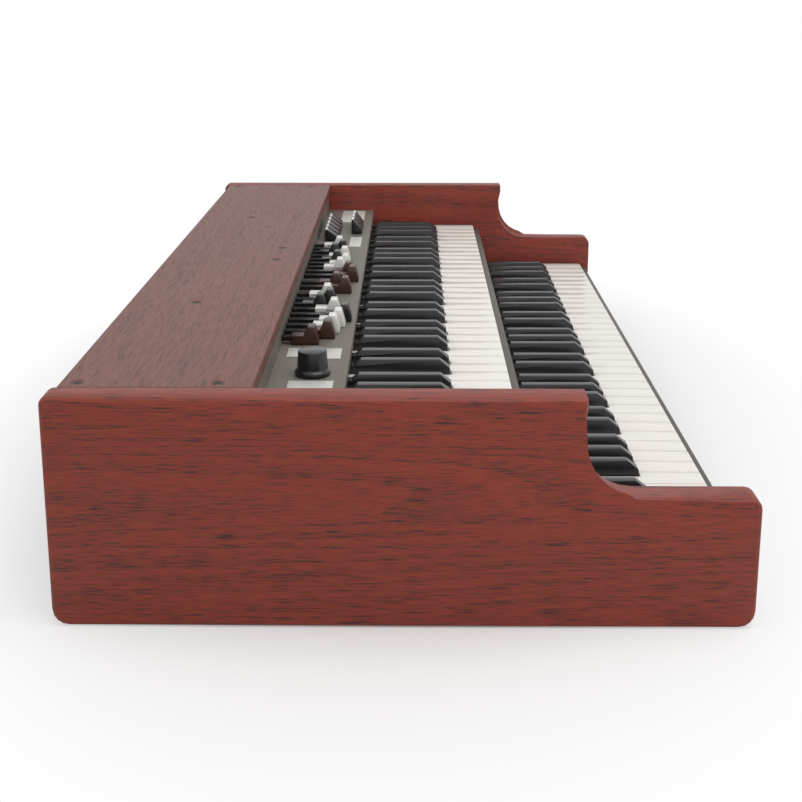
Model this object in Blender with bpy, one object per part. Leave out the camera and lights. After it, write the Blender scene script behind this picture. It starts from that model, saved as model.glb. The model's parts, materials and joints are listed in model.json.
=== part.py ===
"""Two-manual electronic organ with drawbars. +X treble, -Y player, +Z up, sizes in mm."""
import math

import bmesh
import bpy
from mathutils import Vector

MM = 0.001

# Case
KEY_PITCH = 23.5
NATURAL_COUNT = 36
END_GAP = 15.0
CHEEK_THICKNESS = 25.0
DEPTH = 498.0
HEIGHT = 170.0
FRONT_HEIGHT = 98.0
FIT_GAP = 0.3
CHEEK_ROUND = 4.0
LIP_Y = -126.0
LIP_DROP = 9.0
NECK_Y = -122.0
NECK_Z = 141.0
SHOULDER_Y = -161.0
BOARD = 12.0
FLOOR_GAP = 4.0
FLOOR_BOARD = 10.0
REAR_INSET = 7.0
COVER_FRONT = 105.6

# Keys, measured from the front edge and the top of the naturals
UPPER_FRONT = -88.4
UPPER_TOP = 118.0
LOWER_FRONT = -235.0
LOWER_TOP = 64.5
KEY_GAP = 1.0
KEY_THICKNESS = 14.0
HEAD = 50.0
BAR_FRONT = 178.4
BAR_DEPTH = 20.0
SHARP_WIDTH = 11.0
SHARP_RISE = 12.0
SHARP_CLEARANCE = 1.5
SHARP_TAPER = 1.2
SHARP_OFFSETS = {1: -2.5, 2: 2.5, 4: -3.0, 5: 0.0, 6: 3.0}
PIVOT_INSET = 6.0
KEY_TRAVEL_ROOM = 14.0
TRAY = 6.0
SLIP = 7.5
SLIP_GAP = 0.6
SLIP_DROP = 7.0
VISIBLE_KEY = 134.0

# Control panel
PANEL_FRONT = 46.4
PANEL_TOP = 136.0
SHEET = 2.5
PANEL_LIP = 6.0

# Drawbars
DRAWBAR_FIRST = -212.0
DRAWBAR_PITCH = 19.0
DRAWBAR_GROUPS = (9, 2, 9)
DRAWBAR_GROUP_GAP = 12.5
DRAWBAR_IN_Y = 75.0
DRAWBAR_KNOB = (14.0, 24.0)
DRAWBAR_FIN = 16.0
DRAWBAR_TAIL = 8.0
STEM = (8.0, 4.0)
STEM_END = 85.0
STEM_CLEARANCE = 0.6
PULLS = (0, 13, 16, 20, 25, 14, 0, 8, 4, 20, 10, 25, 20, 10, 15, 5, 12, 0, 8, 3)

# Tabs, volume knob
TAB_FIRST = 234.0
TAB_PITCH = 22.0
TAB_WIDTH = 18.0
TAB_STEM = (14.0, 3.0)
TAB_CLEARANCE = 1.3
REAR_TABS = (0, 5, 91.0, 16.0, 13.0)
FRONT_TABS = (2, 3, 62.5, 13.0, 17.0)
KNOB_AT = (-301.0, 74.0)
KNOB_RADIUS = 14.5
KNOB_TOP_RADIUS = 12.5
KNOB_HEIGHT = 20.0
SHAFT_RADIUS = 3.0
SHAFT_CLEARANCE = 0.6
POT = (20.0, 6.0)

# Rear connections
WINDOW = (280.0, 400.0, 60.0, 110.0)
PLATE_MARGIN = 10.0
PLATE = 2.0
SOCKET_Z = 85.0
INLET_X = 375.0
INLET = (27.0, 20.0)
INLET_HOLE = (22.0, 14.0)
INLET_DEPTH = 15.0
SWITCH_X = 335.0
ROCKER = (20.0, 12.0)
ROCKER_TILT = math.radians(6.0)
JACK_X = 300.0
JACK_BARREL = 5.0
JACK_HOLE = 3.3

INNER = KEY_PITCH * NATURAL_COUNT / 2 + END_GAP
WALL = INNER - FIT_GAP
KEYS_LEFT = -KEY_PITCH * NATURAL_COUNT / 2
REAR = DEPTH / 2
REAR_FACE = REAR - REAR_INSET
FLOOR_TOP = FLOOR_GAP + FLOOR_BOARD
COVER_UNDER = HEIGHT - BOARD
PANEL_UNDER = PANEL_TOP - SHEET
UPSTAND = COVER_FRONT + 1.9

FINISHES = {
    "cheek_wood": ((0.28, 0.05, 0.02), 0.45, 0.0),
    "cover_wood": ((0.25, 0.15, 0.13), 0.5, 0.0),
    "panel_paint": ((0.17, 0.15, 0.12), 0.6, 0.1),
    "rail_paint": ((0.10, 0.09, 0.08), 0.6, 0.1),
    "ivory": ((0.85, 0.80, 0.75), 0.3, 0.0),
    "black": ((0.015, 0.015, 0.016), 0.25, 0.0),
    "brown": ((0.16, 0.06, 0.03), 0.35, 0.0),
    "steel": ((0.5, 0.5, 0.5), 0.35, 1.0),
    "board_green": ((0.02, 0.15, 0.06), 0.5, 0.0),
}


def clear_scene():
    for item in list(bpy.data.objects):
        bpy.data.objects.remove(item, do_unlink=True)


def finish(name):
    made = bpy.data.materials.get(name)
    if made is None:
        made = bpy.data.materials.new(name)
        made.use_nodes = True
        colour, roughness, metallic = FINISHES[name]
        shader = made.node_tree.nodes["Principled BSDF"]
        shader.inputs["Base Color"].default_value = (*colour, 1.0)
        shader.inputs["Roughness"].default_value = roughness
        shader.inputs["Metallic"].default_value = metallic
    return made


def node(name, shape, finish_name, pivot=(0.0, 0.0, 0.0), tilt=0.0):
    """Turn a shape in mm into a named object whose origin is at pivot."""
    bmesh.ops.recalc_face_normals(shape, faces=shape.faces)
    origin = Vector(pivot)
    for vertex in shape.verts:
        vertex.co = (vertex.co - origin) * MM
    mesh = bpy.data.meshes.new(name)
    shape.to_mesh(mesh)
    shape.free()
    made = bpy.data.objects.new(name, mesh)
    made.location = origin * MM
    made.rotation_euler.x = tilt
    base = finish(finish_name).copy()
    base.name = name + "_finish"
    mesh.materials.append(base)
    bpy.context.scene.collection.objects.link(made)
    return made


def prism(shape, points, axis, low, high):
    """Extrude a flat outline: along x the points are (y, z), along z they are (x, y)."""
    def place(point, along):
        return (along, *point) if axis == "x" else (*point, along)
    near = [shape.verts.new(place(point, low)) for point in points]
    far = [shape.verts.new(place(point, high)) for point in points]
    shape.faces.new(near)
    shape.faces.new(far[::-1])
    for index, vertex in enumerate(near):
        after = (index + 1) % len(near)
        shape.faces.new((near[after], vertex, far[index], far[after]))
    return shape


def block(shape, low, high):
    corners = [(low[0], low[1]), (high[0], low[1]), (high[0], high[1]), (low[0], high[1])]
    return prism(shape, corners, "z", low[2], high[2])


def box(low, high):
    return block(bmesh.new(), low, high)


def round_points(centre, radius, sides=16):
    angles = [2 * math.pi * step / sides for step in range(sides)]
    return [(centre[0] + radius * math.cos(a), centre[1] + radius * math.sin(a)) for a in angles]


def lathe_y(shape, centre, radius, low, high):
    """A round bar along Y, centred on (x, z)."""
    ring = round_points(centre, radius)
    near = [shape.verts.new((x, low, z)) for x, z in ring]
    far = [shape.verts.new((x, high, z)) for x, z in ring]
    shape.faces.new(near)
    shape.faces.new(far[::-1])
    for index, vertex in enumerate(near):
        after = (index + 1) % len(near)
        shape.faces.new((near[after], vertex, far[index], far[after]))
    return shape


def combine(target, other, operation):
    """Cut with, or join, a helper object that is left out of the model."""
    helper = node(target.name + "_" + operation.lower(), other, "steel")
    helper.hide_render = True
    helper.display_type = "WIRE"
    modifier = target.modifiers.new(operation.title(), "BOOLEAN")
    modifier.operation = operation
    modifier.object = helper
    modifier.solver = "EXACT"


def corner(centre, radius, start, end, steps=4):
    angles = [math.radians(start + (end - start) * i / steps) for i in range(steps + 1)]
    return [(centre[0] + radius[0] * math.cos(a), centre[1] + radius[1] * math.sin(a)) for a in angles]


def cheek_outline():
    foot = 12.0
    nose = 9.0
    back = 6.0
    hollow = (NECK_Y - SHOULDER_Y, NECK_Z - FRONT_HEIGHT)
    points = corner((REAR - foot, foot), (foot, foot), -90, 0)
    points += corner((REAR - back, HEIGHT - back), (back, back), 0, 90)
    points += [(LIP_Y, HEIGHT), (LIP_Y, HEIGHT - LIP_DROP)]
    points += corner((SHOULDER_Y, NECK_Z), hollow, 0, -90, 8)
    points += corner((nose - REAR, FRONT_HEIGHT - nose), (nose, nose), 90, 180)
    points += corner((foot - REAR, foot), (foot, foot), 180, 270)
    return points


def make_cheeks():
    for name, side in (("left_cheek", -1), ("right_cheek", 1)):
        outer = side * (INNER + CHEEK_THICKNESS)
        shape = prism(bmesh.new(), cheek_outline(), "x", side * INNER, outer)
        rim = [e for e in shape.edges if all(abs(v.co.x - outer) < 0.01 for v in e.verts)]
        bmesh.ops.bevel(shape, geom=rim, offset=CHEEK_ROUND, segments=2, profile=0.5, affect="EDGES")
        node(name, shape, "cheek_wood")


def make_case():
    node("top_cover", box((-WALL, COVER_FRONT, COVER_UNDER), (WALL, REAR_FACE, HEIGHT)), "cover_wood")
    front = LOWER_FRONT - SLIP_GAP - SLIP
    node("bottom_board", box((-WALL, front, FLOOR_GAP), (WALL, REAR_FACE, FLOOR_TOP)), "cover_wood")
    low = (-WALL, REAR_FACE - BOARD, FLOOR_TOP + FIT_GAP)
    rear = node("rear_board", box(low, (WALL, REAR_FACE, COVER_UNDER - FIT_GAP)), "cover_wood")
    left, right, bottom, top = WINDOW
    window = box((left, REAR_FACE - 2 * BOARD, bottom), (right, REAR, top))
    combine(rear, window, "DIFFERENCE")


def sharps():
    """Centres of the sharps."""
    found = []
    for boundary in range(1, NATURAL_COUNT):
        if boundary % 7 in SHARP_OFFSETS:
            found.append(KEYS_LEFT + boundary * KEY_PITCH + SHARP_OFFSETS[boundary % 7])
    return found


def naturals_outline(front):
    """One comb: each natural, narrowed beside its sharps, joined along the rear bar."""
    slots = sharps()
    half_slot = SHARP_WIDTH / 2 + KEY_GAP
    neck = front + HEAD - SHARP_CLEARANCE
    bar = front + BAR_FRONT
    points = [(KEYS_LEFT + KEY_GAP / 2, bar + BAR_DEPTH)]
    for key in range(NATURAL_COUNT):
        left = KEYS_LEFT + key * KEY_PITCH + KEY_GAP / 2
        right = left + KEY_PITCH - KEY_GAP
        tail_left = max([left] + [s + half_slot for s in slots if abs(s - left) < SHARP_WIDTH])
        tail_right = min([right] + [s - half_slot for s in slots if abs(s - right) < SHARP_WIDTH])
        points.append((tail_left, bar))
        if tail_left > left:
            points += [(tail_left, neck), (left, neck)]
        points += [(left, front), (right, front)]
        if tail_right < right:
            points += [(right, neck), (tail_right, neck)]
        points.append((tail_right, bar))
    points.append((-KEYS_LEFT - KEY_GAP / 2, bar + BAR_DEPTH))
    return points


def make_sharps(name, front, top, pivot):
    start = front + HEAD
    bar = front + BAR_FRONT
    low = top - KEY_THICKNESS + 3.0
    bar_low = top + 1.5
    crown = top + SHARP_RISE
    tail = top + 7.0
    shape = bmesh.new()
    for centre in sharps():
        outline = [(start, low), (bar - 2, low), (bar - 2, bar_low + 0.5), (bar + 10, bar_low + 0.5)]
        outline += [(bar + 10, tail), (front + VISIBLE_KEY - 2, tail), (front + VISIBLE_KEY - 8, crown)]
        outline += [(start + 9, crown), (start, crown - 7)]
        first = len(shape.verts)
        prism(shape, outline, "x", centre - SHARP_WIDTH / 2, centre + SHARP_WIDTH / 2)
        shape.verts.ensure_lookup_table()
        for vertex in shape.verts[first:]:
            if vertex.co.z > tail + 0.1:
                vertex.co.x -= math.copysign(SHARP_TAPER, vertex.co.x - centre)
    bank = node(name, shape, "black", pivot)
    bar_box = box((KEYS_LEFT, bar, bar_low), (-KEYS_LEFT, bar + BAR_DEPTH, tail + 1))
    combine(bank, bar_box, "UNION")


def make_manual(level, front, top, slip_bottom):
    bar = front + BAR_FRONT
    rear = bar + BAR_DEPTH
    pivot_y = rear - PIVOT_INSET
    keys_under = top - KEY_THICKNESS
    comb = prism(bmesh.new(), naturals_outline(front), "z", keys_under, top)
    node(level + "_naturals", comb, "ivory", (0, pivot_y, top - KEY_THICKNESS / 2))
    make_sharps(level + "_sharps", front, top, (0, pivot_y, top + 0.5))
    tray_top = keys_under - KEY_TRAVEL_ROOM
    tray_low = tray_top - TRAY
    ridge = keys_under - 0.8
    wall = rear + 1
    outline = [(front - FIT_GAP, tray_low), (wall + TRAY, tray_low), (wall + TRAY, top + 8), (wall, top + 8)]
    outline += [(wall, tray_top), (rear - 2, tray_top), (rear - 2, ridge), (rear - 10, ridge)]
    outline += [(rear - 10, tray_top), (front - FIT_GAP, tray_top)]
    node(level + "_key_frame", prism(bmesh.new(), outline, "x", -WALL, WALL), "steel")
    contact = box((KEYS_LEFT, front + 110, tray_top + FIT_GAP), (-KEYS_LEFT, bar - 2, tray_top + 2))
    node(level + "_contact_board", contact, "board_green")
    slip_rear = front - SLIP_GAP
    slip = box((-WALL, slip_rear - SLIP, slip_bottom), (WALL, slip_rear, top - SLIP_DROP))
    node(level + "_key_slip", slip, "rail_paint")
    for side_name, side in (("left", -1), ("right", 1)):
        edges = sorted((side * (-KEYS_LEFT + SLIP_GAP), side * WALL))
        low = (edges[0], front, tray_top + FIT_GAP)
        high = (edges[1], front + VISIBLE_KEY, top - 2)
        node(level + "_key_block_" + side_name, box(low, high), "brown")


def drawbar_places():
    centre = DRAWBAR_FIRST
    places = []
    for count in DRAWBAR_GROUPS:
        for _ in range(count):
            places.append(centre)
            centre += DRAWBAR_PITCH
        centre += DRAWBAR_GROUP_GAP
    return places


def tab_places():
    for first, count, middle, depth, rise in (REAR_TABS, FRONT_TABS):
        for index in range(count):
            yield TAB_FIRST + (first + index) * TAB_PITCH, middle, depth, rise


def make_panel():
    rear = UPSTAND + SHEET
    lip = PANEL_UNDER - PANEL_LIP
    outline = [(PANEL_FRONT, lip), (PANEL_FRONT + SHEET, lip), (PANEL_FRONT + SHEET, PANEL_UNDER)]
    outline += [(rear, PANEL_UNDER), (rear, COVER_UNDER - FIT_GAP), (UPSTAND, COVER_UNDER - FIT_GAP)]
    outline += [(UPSTAND, PANEL_TOP), (PANEL_FRONT, PANEL_TOP)]
    panel = node("control_panel", prism(bmesh.new(), outline, "x", -WALL, WALL), "panel_paint")
    cuts = bmesh.new()
    half = STEM[0] / 2 + STEM_CLEARANCE
    stem_low = PANEL_TOP + 3.0
    for x in drawbar_places():
        low = (x - half, UPSTAND - 2, stem_low - STEM_CLEARANCE)
        block(cuts, low, (x + half, rear + 2, stem_low + STEM[1] + STEM_CLEARANCE))
    for x, middle, _, _ in tab_places():
        half_x = TAB_STEM[0] / 2 + SLIP_GAP
        half_y = TAB_STEM[1] / 2 + 1.1
        low = (x - half_x, middle - half_y, PANEL_UNDER - 2)
        block(cuts, low, (x + half_x, middle + half_y, PANEL_TOP + 2))
    hole = round_points(KNOB_AT, SHAFT_RADIUS + SHAFT_CLEARANCE)
    prism(cuts, hole, "z", PANEL_UNDER - 2, PANEL_TOP + 2)
    combine(panel, cuts, "DIFFERENCE")
    guide = box((DRAWBAR_FIRST - 20, rear + FIT_GAP, PANEL_UNDER), (200, rear + 80, stem_low - 0.5))
    node("drawbar_guide", guide, "steel")


def make_drawbars():
    width, length = DRAWBAR_KNOB
    foot = PANEL_TOP + 0.5
    stem_low = PANEL_TOP + 3.0
    for number, (x, pull) in enumerate(zip(drawbar_places(), PULLS), start=1):
        front = DRAWBAR_IN_Y - pull
        outline = [(front, foot), (front + length, foot), (front + length, foot + DRAWBAR_TAIL)]
        outline += [(front + 13, foot + DRAWBAR_TAIL), (front + 9.5, foot + DRAWBAR_FIN)]
        outline += [(front + 3.5, foot + DRAWBAR_FIN), (front, foot + 3)]
        shape = prism(bmesh.new(), outline, "x", x - width / 2, x + width / 2)
        bar = node("drawbar_%02d" % number, shape, "brown", (x, front, foot))
        low = (x - STEM[0] / 2, front + length - 4, stem_low)
        stem = box(low, (x + STEM[0] / 2, front + STEM_END, stem_low + STEM[1]))
        combine(bar, stem, "UNION")


def make_tabs():
    foot = PANEL_TOP + TAB_CLEARANCE
    for number, (x, middle, depth, rise) in enumerate(tab_places(), start=1):
        front = middle - depth / 2
        rear = middle + depth / 2
        outline = [(front, foot), (rear, foot), (rear, foot + rise), (rear - 3, foot + rise), (front, foot + 4)]
        shape = prism(bmesh.new(), outline, "x", x - TAB_WIDTH / 2, x + TAB_WIDTH / 2)
        tab = node("tab_%d" % number, shape, "black", (x, middle, PANEL_TOP - SHEET / 2))
        half = TAB_STEM[1] / 2
        low = (x - TAB_STEM[0] / 2, middle - half, PANEL_UNDER - 2.5)
        combine(tab, box(low, (x + TAB_STEM[0] / 2, middle + half, foot + 1)), "UNION")


def make_knob():
    foot = PANEL_TOP + 0.6
    shape = bmesh.new()
    rings = [(SHAFT_RADIUS, PANEL_UNDER - 3), (SHAFT_RADIUS, foot), (KNOB_RADIUS, foot)]
    rings += [(KNOB_RADIUS, foot + 3), (KNOB_TOP_RADIUS, foot + 5), (KNOB_TOP_RADIUS - 1, foot + KNOB_HEIGHT)]
    loops = []
    for radius, z in rings:
        loops.append([shape.verts.new((x, y, z)) for x, y in round_points(KNOB_AT, radius, 24)])
    shape.faces.new(loops[0])
    shape.faces.new(loops[-1])
    for lower, upper in zip(loops, loops[1:]):
        for index in range(len(lower)):
            after = (index + 1) % len(lower)
            shape.faces.new((lower[index], lower[after], upper[after], upper[index]))
    node("volume_knob", shape, "black", (*KNOB_AT, foot))
    half = POT[0] / 2
    top = PANEL_UNDER - FIT_GAP
    low = (KNOB_AT[0] - half, KNOB_AT[1] - half, top - POT[1])
    pot = node("volume_pot", box(low, (KNOB_AT[0] + half, KNOB_AT[1] + half, top)), "steel")
    hole = round_points(KNOB_AT, SHAFT_RADIUS + SHAFT_CLEARANCE)
    combine(pot, prism(bmesh.new(), hole, "z", PANEL_UNDER - 3.5, top + 2), "DIFFERENCE")


def centred(x, z, size, low, high):
    return (x - size[0] / 2, low, z - size[1] / 2), (x + size[0] / 2, high, z + size[1] / 2)


def make_rear_connections():
    left, right, bottom, top = WINDOW
    plate_low = REAR_FACE + FIT_GAP
    face = plate_low + PLATE
    low = (left - PLATE_MARGIN, plate_low, bottom - PLATE_MARGIN)
    plate = node("jack_plate", box(low, (right + PLATE_MARGIN, face, top + PLATE_MARGIN)), "steel")
    cuts = bmesh.new()
    block(cuts, *centred(INLET_X, SOCKET_Z, (INLET[0] + 1, INLET[1] + 1), plate_low - 2, face + 2))
    block(cuts, *centred(SWITCH_X, SOCKET_Z, (ROCKER[0] + 2, ROCKER[1] + 2.4), plate_low - 2, face + 2))
    lathe_y(cuts, (JACK_X, SOCKET_Z), JACK_BARREL + 0.5, plate_low - 2, face + 2)
    combine(plate, cuts, "DIFFERENCE")
    behind = plate_low - FIT_GAP
    inlet = node("mains_inlet", box(*centred(INLET_X, SOCKET_Z, INLET, face - 30, face)), "black")
    socket = box(*centred(INLET_X, SOCKET_Z, INLET_HOLE, face - INLET_DEPTH, face + 2))
    combine(inlet, socket, "DIFFERENCE")
    housing = box(*centred(SWITCH_X, SOCKET_Z, (24.0, 18.0), behind - 20, behind))
    switch = node("switch_housing", housing, "black")
    pocket = box(*centred(SWITCH_X, SOCKET_Z, (22.0, 15.2), behind - 10, behind + 2))
    combine(switch, pocket, "DIFFERENCE")
    axis_y = behind - 2
    rocker = box(*centred(SWITCH_X, SOCKET_Z, ROCKER, axis_y - 4, axis_y + 5))
    node("power_switch", rocker, "black", (SWITCH_X, axis_y, SOCKET_Z), ROCKER_TILT)
    jack = node("output_jack", box(*centred(JACK_X, SOCKET_Z, (14.0, 14.0), behind - 20, behind)), "black")
    combine(jack, lathe_y(bmesh.new(), (JACK_X, SOCKET_Z), JACK_BARREL, behind - 2, face + 2), "UNION")
    bore = lathe_y(bmesh.new(), (JACK_X, SOCKET_Z), JACK_HOLE, behind - 14, face + 4)
    combine(jack, bore, "DIFFERENCE")


def make_electronics():
    base = FLOOR_TOP + FIT_GAP
    board = node("main_board", box((-250, 0, base + 10), (150, 200, base + 11.6)), "board_green")
    posts = bmesh.new()
    for x in (-240, 140):
        for y in (10, 190):
            block(posts, (x - 3, y - 3, base), (x + 3, y + 3, base + 11))
    combine(board, posts, "UNION")
    supply = box((220, 80, base), (330, 200, base + 56))
    bmesh.ops.bevel(supply, geom=list(supply.edges), offset=3, segments=1, affect="EDGES")
    node("power_supply", supply, "steel")


def main():
    clear_scene()
    make_cheeks()
    make_case()
    make_manual("upper", UPPER_FRONT, UPPER_TOP, LOWER_TOP + SHARP_RISE + 3.5)
    make_manual("lower", LOWER_FRONT, LOWER_TOP, FLOOR_TOP + FIT_GAP)
    make_panel()
    make_drawbars()
    make_tabs()
    make_knob()
    make_rear_connections()
    make_electronics()


main()
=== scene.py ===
"""Looks of the two-manual electronic organ: finishes, rounded edges, screws, plates, stage."""
from __future__ import annotations

import json
import logging
import math
from dataclasses import dataclass
from enum import Enum

import bmesh
import bpy
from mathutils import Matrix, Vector

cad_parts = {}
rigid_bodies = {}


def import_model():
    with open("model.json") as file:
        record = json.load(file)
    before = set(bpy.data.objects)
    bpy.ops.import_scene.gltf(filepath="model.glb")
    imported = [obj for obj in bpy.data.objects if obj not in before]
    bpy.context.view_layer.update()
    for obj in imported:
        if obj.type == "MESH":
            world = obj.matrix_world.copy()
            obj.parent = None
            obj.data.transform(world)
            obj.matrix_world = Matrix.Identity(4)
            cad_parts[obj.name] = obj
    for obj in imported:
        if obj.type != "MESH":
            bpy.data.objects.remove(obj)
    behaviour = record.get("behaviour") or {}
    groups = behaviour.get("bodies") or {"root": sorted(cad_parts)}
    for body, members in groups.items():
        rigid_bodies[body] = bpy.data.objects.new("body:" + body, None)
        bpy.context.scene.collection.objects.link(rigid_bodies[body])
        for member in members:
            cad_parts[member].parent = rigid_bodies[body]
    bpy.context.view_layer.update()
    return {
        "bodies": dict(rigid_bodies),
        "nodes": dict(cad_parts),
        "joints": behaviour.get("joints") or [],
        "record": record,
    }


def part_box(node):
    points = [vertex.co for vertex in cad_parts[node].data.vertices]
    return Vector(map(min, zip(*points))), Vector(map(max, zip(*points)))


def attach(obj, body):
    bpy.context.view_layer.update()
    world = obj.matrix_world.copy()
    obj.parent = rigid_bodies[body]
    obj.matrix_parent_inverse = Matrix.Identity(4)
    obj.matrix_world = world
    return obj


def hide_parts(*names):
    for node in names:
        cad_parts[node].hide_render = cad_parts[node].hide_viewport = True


LOG = logging.getLogger("organ")
Triple = tuple[float, float, float]
Colour = Triple
Span = tuple[float, float, float, float]
MM = 0.001

# Corners nearer than this, in metres, are one corner. Faces that meet at less than the first angle
# are one face, edges over the second are rounded, and edges over the third are shaded as sharp.
SAME_CORNER = 1e-6
SAME_FACE = math.radians(1)
WORTH_ROUNDING = math.radians(32)
STAYS_SHARP = math.radians(50)

ROUNDING_STEPS = 2
THIN_EDGE = 0.2 * MM
PIT_SIDES = 32
PIT_FLARE = 0.2


class Grain(Enum):
    """The way that a board's grain runs, as the stretch of its pattern along x, y and z."""

    LENGTHWISE = (3.5, 75.0, 75.0)
    FRONT_TO_BACK = (75.0, 3.5, 75.0)


class Socket:
    """A shader output that arithmetic can be written on."""

    def __init__(self, tree: bpy.types.NodeTree, output: bpy.types.NodeSocket) -> None:
        """Keep the tree and the output."""
        self.tree = tree
        self.output = output

    def _math(self, operation: str, first: Socket | float, second: Socket | float) -> Socket:
        """The result of one Math node."""
        return Shader.add(self.tree, "ShaderNodeMath", {"operation": operation}, {0: first, 1: second})

    def __mul__(self, other: Socket | float) -> Socket:
        """Product."""
        return self._math("MULTIPLY", self, other)

    def __add__(self, other: Socket | float) -> Socket:
        """Sum."""
        return self._math("ADD", self, other)

    def __rsub__(self, other: float) -> Socket:
        """Difference from a number."""
        return self._math("SUBTRACT", other, self)


class Shader:
    """One material and the nodes that feed its Principled BSDF."""

    # Where the Mix node keeps its sockets for colours
    MIX_AMOUNT = 0
    MIX_FIRST = 6
    MIX_SECOND = 7
    MIX_RESULT = 2

    def __init__(self, name: str) -> None:
        """Start a material.

        Args:
            name: the material's name.
        """
        self.material = bpy.data.materials.new(name)
        self.material.use_nodes = True
        self.tree = self.material.node_tree
        self.surface = self.tree.nodes["Principled BSDF"]

    @staticmethod
    def add(tree: bpy.types.NodeTree, kind: str, settings: dict, values: dict, out: int | str = 0) -> Socket:
        """Add any node.

        Args:
            tree: the tree that takes it.
            kind: the node's type.
            settings: properties, set first.
            values: values or Sockets by input.
            out: the output wanted.

        Returns:
            The chosen output.
        """
        node = tree.nodes.new(kind)
        for key, value in settings.items():
            setattr(node, key, value)
        for key, value in values.items():
            if isinstance(value, Socket):
                tree.links.new(value.output, node.inputs[key])
            else:
                node.inputs[key].default_value = value
        return Socket(tree, node.outputs[out])

    def place(self, stretch: Triple) -> Socket:
        """Object coordinates, scaled by stretch along x, y and z."""
        spot = self.add(self.tree, "ShaderNodeTexCoord", {}, {}, "Object")
        return self.add(self.tree, "ShaderNodeMapping", {}, {"Vector": spot, "Scale": stretch})

    def noise(self, spot: Socket, scale: float, detail: float = 4.0, twist: float = 0.0) -> Socket:
        """Noise between 0 and 1, finer with scale, rougher with detail and more wavy with twist."""
        values = {"Vector": spot, "Scale": scale, "Detail": detail, "Distortion": twist}
        return self.add(self.tree, "ShaderNodeTexNoise", {}, values)

    def fraction(self, amount: Socket) -> Socket:
        """What is left of a value after its whole part."""
        return self.add(self.tree, "ShaderNodeMath", {"operation": "FRACT"}, {0: amount})

    def blend(self, amount: Socket, low: Colour, high: Colour) -> Socket:
        """Mix two colours, from low at an amount of 0 to high at 1."""
        values = {self.MIX_AMOUNT: amount, self.MIX_FIRST: (*low, 1.0), self.MIX_SECOND: (*high, 1.0)}
        return self.add(self.tree, "ShaderNodeMix", {"data_type": "RGBA"}, values, self.MIX_RESULT)

    def sharpen(self, amount: Socket, low: float, high: float) -> Socket:
        """Stretch the span from low to high over 0 to 1."""
        return self.add(self.tree, "ShaderNodeMapRange", {}, {0: amount, 1: low, 2: high})

    def bump(self, height: Socket, strength: float, distance: float) -> None:
        """Feed the normal from a height of 0 to 1, where 1 stands for distance in metres."""
        values = {"Height": height, "Strength": strength, "Distance": distance}
        self.feed("Normal", self.add(self.tree, "ShaderNodeBump", {}, values))

    def feed(self, name: str, source: Socket) -> None:
        """Link a source to an input of the surface."""
        self.tree.links.new(source.output, self.surface.inputs[name])


@dataclass(frozen=True)
class WoodFinish:
    """Stained open-grain wood: broad growth rings, with dark pores that are denser in late wood."""

    name: str
    light: Colour
    dark: Colour
    grain: Grain
    figure: float = 0.5
    ring_size: float = 0.22
    ring_twist: float = 0.8
    ring_count: float = 16.0
    late_start: float = 0.35
    late_strength: float = 0.45
    pore_size: float = 15.0
    pore_twist: float = 0.3
    pore_span: tuple[float, float] = (0.51, 0.61)
    pore_strength: float = 0.45
    pore_crowding: float = 0.45
    pore_relief: float = 0.25
    pore_depth: float = 0.4 * MM
    roughness: float = 0.38
    dullness: float = 0.25

    def make(self) -> bpy.types.Material:
        """Build the material.

        Returns:
            The material.
        """
        shader = Shader(self.name)
        spot = shader.place(self.grain.value)
        broad = shader.noise(spot, self.ring_size, detail=2.0, twist=self.ring_twist)
        pores = shader.noise(spot, self.pore_size, detail=5.0, twist=self.pore_twist)
        rings = shader.fraction(broad * self.ring_count)
        late_wood = shader.sharpen(rings, self.late_start, 1.0)
        streaks = late_wood * (self.late_strength * self.figure)
        density = late_wood * self.pore_crowding + self.pore_strength
        lines = shader.sharpen(pores, *self.pore_span) * density
        shader.feed("Base Color", shader.blend(streaks + lines, self.light, self.dark))
        shader.feed("Roughness", pores * self.dullness + self.roughness)
        shader.bump(1.0 - lines, self.pore_relief, self.pore_depth)
        return shader.material


@dataclass(frozen=True)
class MouldedFinish:
    """Moulded plastic, enamel or bare metal, faintly clouded and finely textured."""

    name: str
    colour: Colour
    roughness: float
    speckle: float = 0.15
    metallic: float = 0.0
    cloud_size: float = 14.0
    dullness: float = 0.12
    texture: float = 900.0
    relief: float = 0.05
    texture_depth: float = 0.2 * MM

    def make(self) -> bpy.types.Material:
        """Build the material.

        Returns:
            The material.
        """
        shader = Shader(self.name)
        spot = shader.place((1.0, 1.0, 1.0))
        clouds = shader.noise(spot, self.cloud_size)
        fine = shader.noise(spot, self.texture, detail=2.0)
        worn = tuple(channel * (1.0 - self.speckle) for channel in self.colour)
        shader.feed("Base Color", shader.blend(clouds, self.colour, worn))
        shader.feed("Roughness", clouds * self.dullness + self.roughness)
        shader.surface.inputs["Metallic"].default_value = self.metallic
        shader.bump(fine, self.relief, self.texture_depth)
        return shader.material


ENAMEL = {"roughness": 0.5, "texture": 1400.0, "relief": 0.2}

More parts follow.
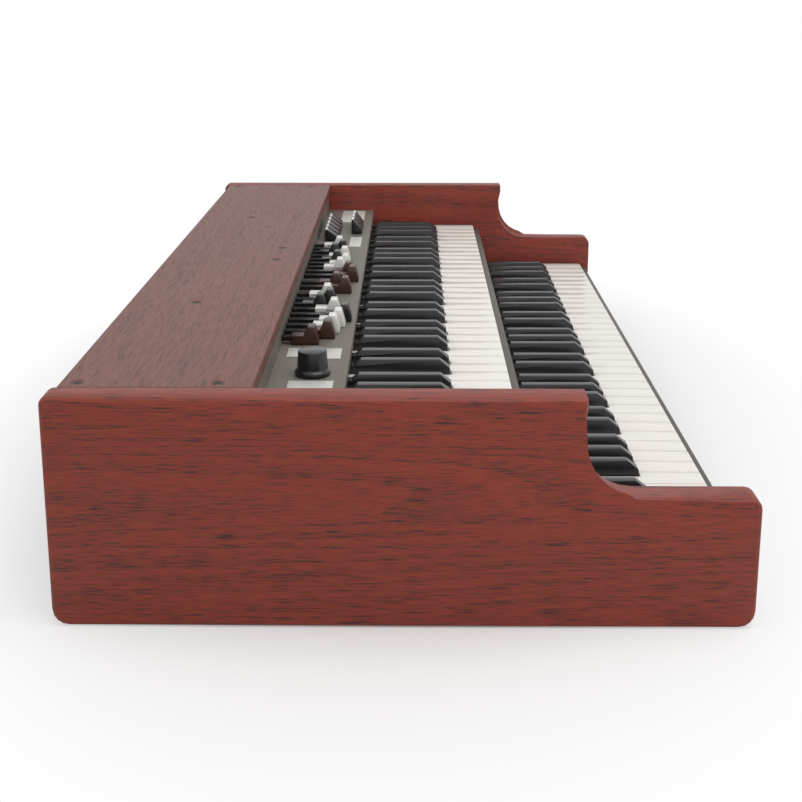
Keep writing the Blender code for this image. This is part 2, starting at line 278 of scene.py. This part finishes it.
FINISHES = {
    "cheek": WoodFinish("cheek_stain", light=(0.235, 0.024, 0.007), dark=(0.035, 0.006, 0.003),
                        grain=Grain.FRONT_TO_BACK),
    "cover": WoodFinish("cover_stain", light=(0.165, 0.048, 0.034), dark=(0.05, 0.015, 0.011),
                        grain=Grain.LENGTHWISE, figure=0.4),
    "block": WoodFinish("block_stain", light=(0.10, 0.05, 0.035), dark=(0.03, 0.015, 0.01),
                        grain=Grain.FRONT_TO_BACK, figure=0.3),
    "panel": MouldedFinish("panel_enamel", (0.16, 0.14, 0.118), speckle=0.12, **ENAMEL),
    "rail": MouldedFinish("rail_enamel", (0.10, 0.087, 0.073), speckle=0.15, **ENAMEL),
    "ivory": MouldedFinish("key_ivory", (0.86, 0.81, 0.76), roughness=0.18, speckle=0.05),
    "white": MouldedFinish("drawbar_white", (0.80, 0.79, 0.75), roughness=0.22, speckle=0.06),
    "black": MouldedFinish("moulded_black", (0.014, 0.014, 0.015), roughness=0.2, speckle=0.3),
    "brown": MouldedFinish("drawbar_brown", (0.055, 0.02, 0.013), roughness=0.25, speckle=0.2),
    "steel": MouldedFinish("zinc_steel", (0.5, 0.5, 0.5), roughness=0.32, metallic=1.0),
    "board": MouldedFinish("board_green", (0.02, 0.13, 0.05), roughness=0.45, speckle=0.3),
    "plate": MouldedFinish("blank_plate", (0.62, 0.61, 0.57), roughness=0.35, speckle=0.08),
    "screw": MouldedFinish("blackened_screw", (0.06, 0.055, 0.05), roughness=0.3, speckle=0.3, metallic=1.0),
}

SLOT_FINISH = {
    "cheek_wood": "cheek", "cover_wood": "cover", "block_wood": "block", "panel_paint": "panel",
    "rail_paint": "rail", "ivory_plastic": "ivory", "white_plastic": "white", "black_plastic": "black",
    "brown_plastic": "brown", "steel": "steel", "circuit_board": "board",
}


def mesh_of(name: str, shape: bmesh.types.BMesh) -> bpy.types.Mesh:
    """Turn a finished shape into a mesh.

    Args:
        name: the mesh's name.
        shape: the shape, which is freed.

    Returns:
        The mesh.
    """
    mesh = bpy.data.meshes.new(name)
    shape.to_mesh(mesh)
    shape.free()
    return mesh


def link(name: str, mesh: bpy.types.Mesh, finish: bpy.types.Material | None = None) -> bpy.types.Object:
    """Put a mesh in the scene.

    Args:
        name: the object's name.
        mesh: its mesh.
        finish: its one finish, or none for a cutter.

    Returns:
        The object.
    """
    made = bpy.data.objects.new(name, mesh)
    if finish is not None:
        mesh.materials.clear()
        mesh.materials.append(finish)
    bpy.context.scene.collection.objects.link(made)
    return made


def settled(made: bpy.types.Object) -> bpy.types.Mesh:
    """The mesh that an object's modifiers give, as a mesh of its own."""
    graph = bpy.context.evaluated_depsgraph_get()
    return bpy.data.meshes.new_from_object(made.evaluated_get(graph))


def slab(name: str, low: Vector, high: Vector, finish: bpy.types.Material) -> bpy.types.Object:
    """A thin plate with rounded edges.

    Args:
        name: the piece's name.
        low: its lowest corner.
        high: its highest corner.
        finish: its finish.

    Returns:
        The plate.
    """
    shape = bmesh.new()
    bmesh.ops.create_cube(shape, size=1.0)
    half = Vector((0.5, 0.5, 0.5))
    for vertex in shape.verts:
        share = vertex.co + half
        vertex.co = Vector(a + (b - a) * t for a, b, t in zip(low, high, share))
    piece = link(name, mesh_of(name, shape), finish)
    soften(piece, THIN_EDGE)
    return piece


def sink(made: bpy.types.Object, spots: list[Vector], radius: float, depth: float) -> None:
    """Cut a countersunk pit into a piece at each spot.

    Args:
        made: the piece.
        spots: where the pits open.
        radius: a pit's radius at the surface.
        depth: how deep it goes.
    """
    ends = {"radius1": radius * (1 - PIT_FLARE), "radius2": radius * (1 + PIT_FLARE)}
    shape = bmesh.new()
    for spot in spots:
        cone = bmesh.ops.create_cone(shape, cap_ends=True, segments=PIT_SIDES, depth=2 * depth, **ends)
        bmesh.ops.translate(shape, verts=cone["verts"], vec=spot)
    cutter = link("pits", mesh_of("pits", shape))
    modifier = made.modifiers.new("Pits", "BOOLEAN")
    modifier.operation = "DIFFERENCE"
    modifier.object = cutter
    made.data = settled(made)
    made.modifiers.clear()
    bpy.data.objects.remove(cutter, do_unlink=True)


def soften(made: bpy.types.Object, width: float, faceted: bool = False) -> None:
    """Round the sharp edges and keep the result as the mesh.

    Args:
        made: the piece.
        width: how far the rounding reaches from an edge.
        faceted: whether its faces are shaded flat.
    """
    modifier = made.modifiers.new("Rounding", "BEVEL")
    modifier.width = width
    modifier.segments = ROUNDING_STEPS
    modifier.limit_method = "ANGLE"
    modifier.angle_limit = WORTH_ROUNDING
    modifier.use_clamp_overlap = True
    rounded = settled(made)
    made.modifiers.clear()
    made.data = rounded
    if faceted:
        rounded.shade_flat()
        return
    rounded.shade_smooth()
    rounded.set_sharp_from_angle(angle=STAYS_SHARP)


@dataclass
class Housing:
    """Every solid of the frame, with its edges rounded and its finish on."""

    frame: dict
    finishes: dict[str, bpy.types.Material]
    edge: float = 0.5 * MM
    wood_edge: float = 1.2 * MM
    knob_length: float = 24.2 * MM

    def body_of(self, node: str) -> str:
        """The body that holds a node."""
        bodies = self.frame["record"]["behaviour"]["bodies"]
        return next(body for body, nodes in bodies.items() if node in nodes)

    def solid_of(self, node: str) -> bmesh.types.BMesh:
        """A node's solid, with its triangles joined into flat faces.

        Args:
            node: the node's name.

        Returns:
            The shape, ready to be rounded.
        """
        shape = bmesh.new()
        shape.from_mesh(self.frame["nodes"][node].data)
        bmesh.ops.remove_doubles(shape, verts=shape.verts, dist=SAME_CORNER)
        edges = list(shape.edges)
        verts = list(shape.verts)
        bmesh.ops.dissolve_limit(shape, angle_limit=SAME_FACE, verts=verts, edges=edges)
        return shape

    def pit_cover(self, piece: bpy.types.Object) -> None:
        """Cut the screws' pits into the top cover."""
        screws = CoverScrews(self.finishes)
        sink(piece, screws.places(0.0), screws.radius * screws.pit_width, screws.rise * screws.pit_depth)

    def darken_stem(self, piece: bpy.types.Object, node: str) -> None:
        """Give the stem behind a drawbar's knob the black finish.

        Args:
            piece: the drawbar.
            node: its node's name.
        """
        piece.data.materials.append(self.finishes["black"])
        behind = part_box(node)[0][1] + self.knob_length
        for face in piece.data.polygons:
            if face.center.y > behind:
                face.material_index = 1

    def build(self) -> None:
        """Dress each node with a rounded piece in its slot's finish."""
        for part in self.frame["record"]["subparts"]:
            node = part["node"]
            name = node + "_skin"
            key = SLOT_FINISH[part["material_slot"]]
            is_cover = node == "top_cover"
            piece = link(name, mesh_of(name, self.solid_of(node)), self.finishes[key])
            if is_cover:
                self.pit_cover(piece)
            width = self.wood_edge if key in ("cheek", "cover") else self.edge
            soften(piece, width, faceted=is_cover)
            if node.startswith("drawbar_") and node != "drawbar_guide":
                self.darken_stem(piece, node)
            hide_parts(node)
            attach(piece, self.body_of(node))
            LOG.info("%s: %d faces", piece.name, len(piece.data.polygons))


@dataclass
class CoverScrews:
    """Countersunk screws of the top cover, set by a Geometry Nodes tree."""

    finishes: dict[str, bpy.types.Material]
    radius: float = 4.0 * MM
    rise: float = 0.9 * MM
    seat: float = 1.3
    pit_width: float = 1.15
    pit_depth: float = 1.5
    sides: int = 24
    dome: tuple[tuple[float, float], ...] = ((1.0, 0.0), (1.0, 0.35), (0.8, 0.8), (0.45, 0.98))
    recess_reach: float = 0.5
    recess_depth: float = 0.5
    recess_floor: float = 0.3
    side: float = 0.427
    middle: float = 0.028
    inner: float = 0.200
    front: float = 0.131
    centre: float = 0.183
    back: float = 0.230

    def places(self, below: float) -> list[Vector]:
        """Where the screws stand.

        Args:
            below: the depth under the cover's top.

        Returns:
            One point for each screw.
        """
        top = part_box("top_cover")[1][2] - below
        flat = [(x, self.front) for x in (-self.side, -self.middle, self.middle, self.side)]
        flat += [(x, self.centre) for x in (-self.inner, self.inner)]
        flat += [(x, self.back) for x in (-self.side, self.side)]
        return [Vector((x, y, top)) for x, y in flat]

    def ring(self, shape: bmesh.types.BMesh, share: float, height: float) -> list[bmesh.types.BMVert]:
        """One ring of the head, pressed down at the four arms of the recess where it is near the middle.

        Args:
            shape: the head being built.
            share: the ring's share of the radius.
            height: its share of the rise.

        Returns:
            The ring's corners.
        """
        quarter = self.sides // 4
        corners = []
        for step in range(self.sides):
            turn = 2 * math.pi * step / self.sides
            near_arm = share < self.recess_reach and step % quarter in (0, 1, quarter - 1)
            depth = self.recess_depth if near_arm else 0.0
            x = self.radius * share * math.cos(turn)
            y = self.radius * share * math.sin(turn)
            corners.append(shape.verts.new((x, y, self.rise * (height - depth))))
        return corners

    def head(self) -> bpy.types.Object:
        """One domed head with a cross recess.

        Returns:
            The head, standing at the origin.
        """
        shape = bmesh.new()
        loops = [self.ring(shape, share, height) for share, height in self.dome]
        for lower, upper in zip(loops, loops[1:]):
            for step in range(self.sides):
                after = (step + 1) % self.sides
                shape.faces.new((lower[step], lower[after], upper[after], upper[step]))
        pit = shape.verts.new((0, 0, self.rise * self.recess_floor))
        for step in range(self.sides):
            shape.faces.new((loops[-1][step], loops[-1][(step + 1) % self.sides], pit))
        shape.faces.new(loops[0][::-1])
        return link("screw_head", mesh_of("screw_head", shape), self.finishes["screw"])

    def tree(self) -> tuple[bpy.types.NodeTree, str]:
        """The tree that sets a head on each point.

        Returns:
            The tree, and the identifier of its input for the head.
        """
        tree = bpy.data.node_groups.new("Screws", "GeometryNodeTree")
        face = tree.interface
        face.new_socket("Geometry", in_out="INPUT", socket_type="NodeSocketGeometry")
        pick = face.new_socket("Head", in_out="INPUT", socket_type="NodeSocketObject")
        face.new_socket("Geometry", in_out="OUTPUT", socket_type="NodeSocketGeometry")
        start = tree.nodes.new("NodeGroupInput")
        info = tree.nodes.new("GeometryNodeObjectInfo")
        spread = tree.nodes.new("GeometryNodeInstanceOnPoints")
        solid = tree.nodes.new("GeometryNodeRealizeInstances")
        paint = tree.nodes.new("GeometryNodeSetMaterial")
        end = tree.nodes.new("NodeGroupOutput")
        paint.inputs["Material"].default_value = self.finishes["screw"]
        tree.links.new(start.outputs["Head"], info.inputs["Object"])
        tree.links.new(start.outputs["Geometry"], spread.inputs["Points"])
        tree.links.new(info.outputs["Geometry"], spread.inputs["Instance"])
        tree.links.new(spread.outputs["Instances"], solid.inputs[0])
        tree.links.new(solid.outputs[0], paint.inputs["Geometry"])
        tree.links.new(paint.outputs[0], end.inputs[0])
        return tree, pick.identifier

    def build(self) -> None:
        """Set the heads on their points and keep one mesh."""
        points = bpy.data.meshes.new("cover_screws")
        points.from_pydata(self.places(self.rise * self.seat), [], [])
        head = self.head()
        carrier = link("screw_points", points, self.finishes["screw"])
        modifier = carrier.modifiers.new("Screws", "NODES")
        modifier.node_group, head_input = self.tree()
        modifier[head_input] = head
        result = settled(carrier)
        bpy.data.objects.remove(carrier, do_unlink=True)
        bpy.data.objects.remove(head, do_unlink=True)
        piece = link("cover_screws_set", result, self.finishes["screw"])
        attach(piece, "case")
        LOG.info("%s: %d faces", piece.name, len(result.polygons))


@dataclass
class LabelPlates:
    """Blank plates on the control panel, as left, right, front and back in metres."""

    finishes: dict[str, bpy.types.Material]
    height: float = 0.6 * MM
    drawbar_gap: float = 0.5 * MM
    spans: tuple[Span, ...] = (
        (-0.341, -0.319, 0.056, 0.092), (-0.254, -0.228, 0.084, 0.100), (-0.259, -0.229, 0.054, 0.072),
        (0.193, 0.250, 0.055, 0.069), (0.345, 0.426, 0.057, 0.087),
    )

    def build(self) -> None:
        """Lay each plate on the panel's top face, a small gap below the drawbars."""
        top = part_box("drawbar_01")[0][2] - self.drawbar_gap
        for number, (left, right, front, back) in enumerate(self.spans, start=1):
            low = Vector((left, front, top))
            high = Vector((right, back, top + self.height))
            piece = slab("label_plate_%d" % number, low, high, self.finishes["plate"])
            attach(piece, "case")
            LOG.info("%s laid", piece.name)


@dataclass
class TabEdges:
    """The white top edge of each tab."""

    finishes: dict[str, bpy.types.Material]
    count: int = 8
    depth: float = 3.0 * MM
    height: float = 0.5 * MM
    side_inset: float = 0.4 * MM
    back_inset: float = 0.2 * MM
    sunk: float = 0.1 * MM

    def build(self) -> None:
        """Lay a strip on each tab, moving with it."""
        for number in range(1, self.count + 1):
            tab = "tab_%d" % number
            near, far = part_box(tab)
            low = Vector((near[0] + self.side_inset, far[1] - self.depth, far[2] - self.sunk))
            high = Vector((far[0] - self.side_inset, far[1] - self.back_inset, far[2] + self.height))
            piece = slab(tab + "_edge", low, high, self.finishes["white"])
            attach(piece, tab)
            LOG.info("%s laid", piece.name)


@dataclass
class Studio:
    """Pale floor, soft light and the camera. Lengths in metres, angles in degrees."""

    eye: Triple = (-1.285, -0.0056, 0.450)
    pitch: float = 13.5
    yaw: float = 0.49
    lens: float = 57.4
    sensor: float = 36.0
    shift: float = -0.15
    ambient: float = 0.62
    lamp_power: float = 15.0
    lamp_size: float = 1.6
    lamp_place: Triple = (-0.6, -0.5, 1.7)
    lamp_aim: Triple = (0.0, 0.0, 0.1)
    floor_reach: float = 12.0
    paper_colour: Colour = (0.94, 0.94, 0.94)
    paper_roughness: float = 0.95
    fade_stretch: Triple = (1.0, 1.6, 1.0)
    near_floor: float = 0.42
    far_floor: float = 0.75

    def build(self) -> None:
        """Set up what the object stands in."""
        bpy.context.scene.view_settings.view_transform = "Standard"
        self.set_camera()
        self.hang_lamp()
        self.light_world()
        self.lay_floor()

    def set_camera(self) -> None:
        """Stand the camera beyond the bass end, looking along the keys."""
        camera = bpy.data.objects.new("camera", bpy.data.cameras.new("camera"))
        camera.data.lens = self.lens
        camera.data.sensor_width = self.sensor
        camera.data.shift_y = self.shift
        camera.location = self.eye
        pitch = math.radians(self.pitch)
        yaw = math.radians(self.yaw)
        aim = Vector((math.cos(pitch) * math.cos(yaw), math.cos(pitch) * math.sin(yaw), -math.sin(pitch)))
        camera.rotation_euler = aim.to_track_quat("-Z", "Y").to_euler()
        bpy.context.scene.collection.objects.link(camera)
        bpy.context.scene.camera = camera

    def hang_lamp(self) -> None:
        """Hang one soft lamp over the player's side."""
        lamp = bpy.data.objects.new("softbox", bpy.data.lights.new("softbox", "AREA"))
        lamp.data.energy = self.lamp_power
        lamp.data.size = self.lamp_size
        lamp.location = self.lamp_place
        aim = Vector(self.lamp_aim) - lamp.location
        lamp.rotation_euler = aim.to_track_quat("-Z", "Y").to_euler()
        bpy.context.scene.collection.objects.link(lamp)

    def light_world(self) -> None:
        """Light evenly from all round, and show white to the camera and in reflections."""
        world = bpy.data.worlds.new("studio")
        world.use_nodes = True
        bpy.context.scene.world = world
        tree = world.node_tree
        path = tree.nodes.new("ShaderNodeLightPath")
        seen = Socket(tree, path.outputs["Is Camera Ray"]) + Socket(tree, path.outputs["Is Glossy Ray"])
        seen = seen + Socket(tree, path.outputs["Is Transmission Ray"])
        strength = seen * (1.0 - self.ambient) + self.ambient
        background = tree.nodes["Background"]
        background.inputs["Color"].default_value = (1.0, 1.0, 1.0, 1.0)
        tree.links.new(strength.output, background.inputs["Strength"])

    def lay_floor(self) -> None:
        """Lay the paper floor."""
        shape = bmesh.new()
        bmesh.ops.create_grid(shape, x_segments=1, y_segments=1, size=self.floor_reach)
        mesh = mesh_of("floor", shape)
        link("floor", mesh, self.paper())

    def paper(self) -> bpy.types.Material:
        """Pale paper that turns to the white background away from the object.

        Returns:
            The material.
        """
        shader = Shader("floor_paper")
        shader.surface.inputs["Base Color"].default_value = (*self.paper_colour, 1.0)
        shader.surface.inputs["Roughness"].default_value = self.paper_roughness
        tree = shader.tree
        spot = shader.place(self.fade_stretch)
        reach = shader.add(tree, "ShaderNodeVectorMath", {"operation": "LENGTH"}, {0: spot}, "Value")
        path = tree.nodes.new("ShaderNodeLightPath")
        seen = Socket(tree, path.outputs["Is Camera Ray"])
        amount = shader.sharpen(reach, self.near_floor, self.far_floor) * seen
        paper = Socket(tree, shader.surface.outputs[0])
        glow = shader.add(tree, "ShaderNodeEmission", {}, {})
        mixed = shader.add(tree, "ShaderNodeMixShader", {}, {0: amount, 1: paper, 2: glow})
        tree.links.new(mixed.output, tree.nodes["Material Output"].inputs["Surface"])
        return shader.material


def main() -> None:
    """Build the organ's looks round its frame."""
    logging.basicConfig(level=logging.INFO)
    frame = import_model()
    finishes = {key: finish.make() for key, finish in FINISHES.items()}
    Housing(frame, finishes).build()
    CoverScrews(finishes).build()
    LabelPlates(finishes).build()
    TabEdges(finishes).build()
    Studio().build()


if __name__ == "__main__":
    main()
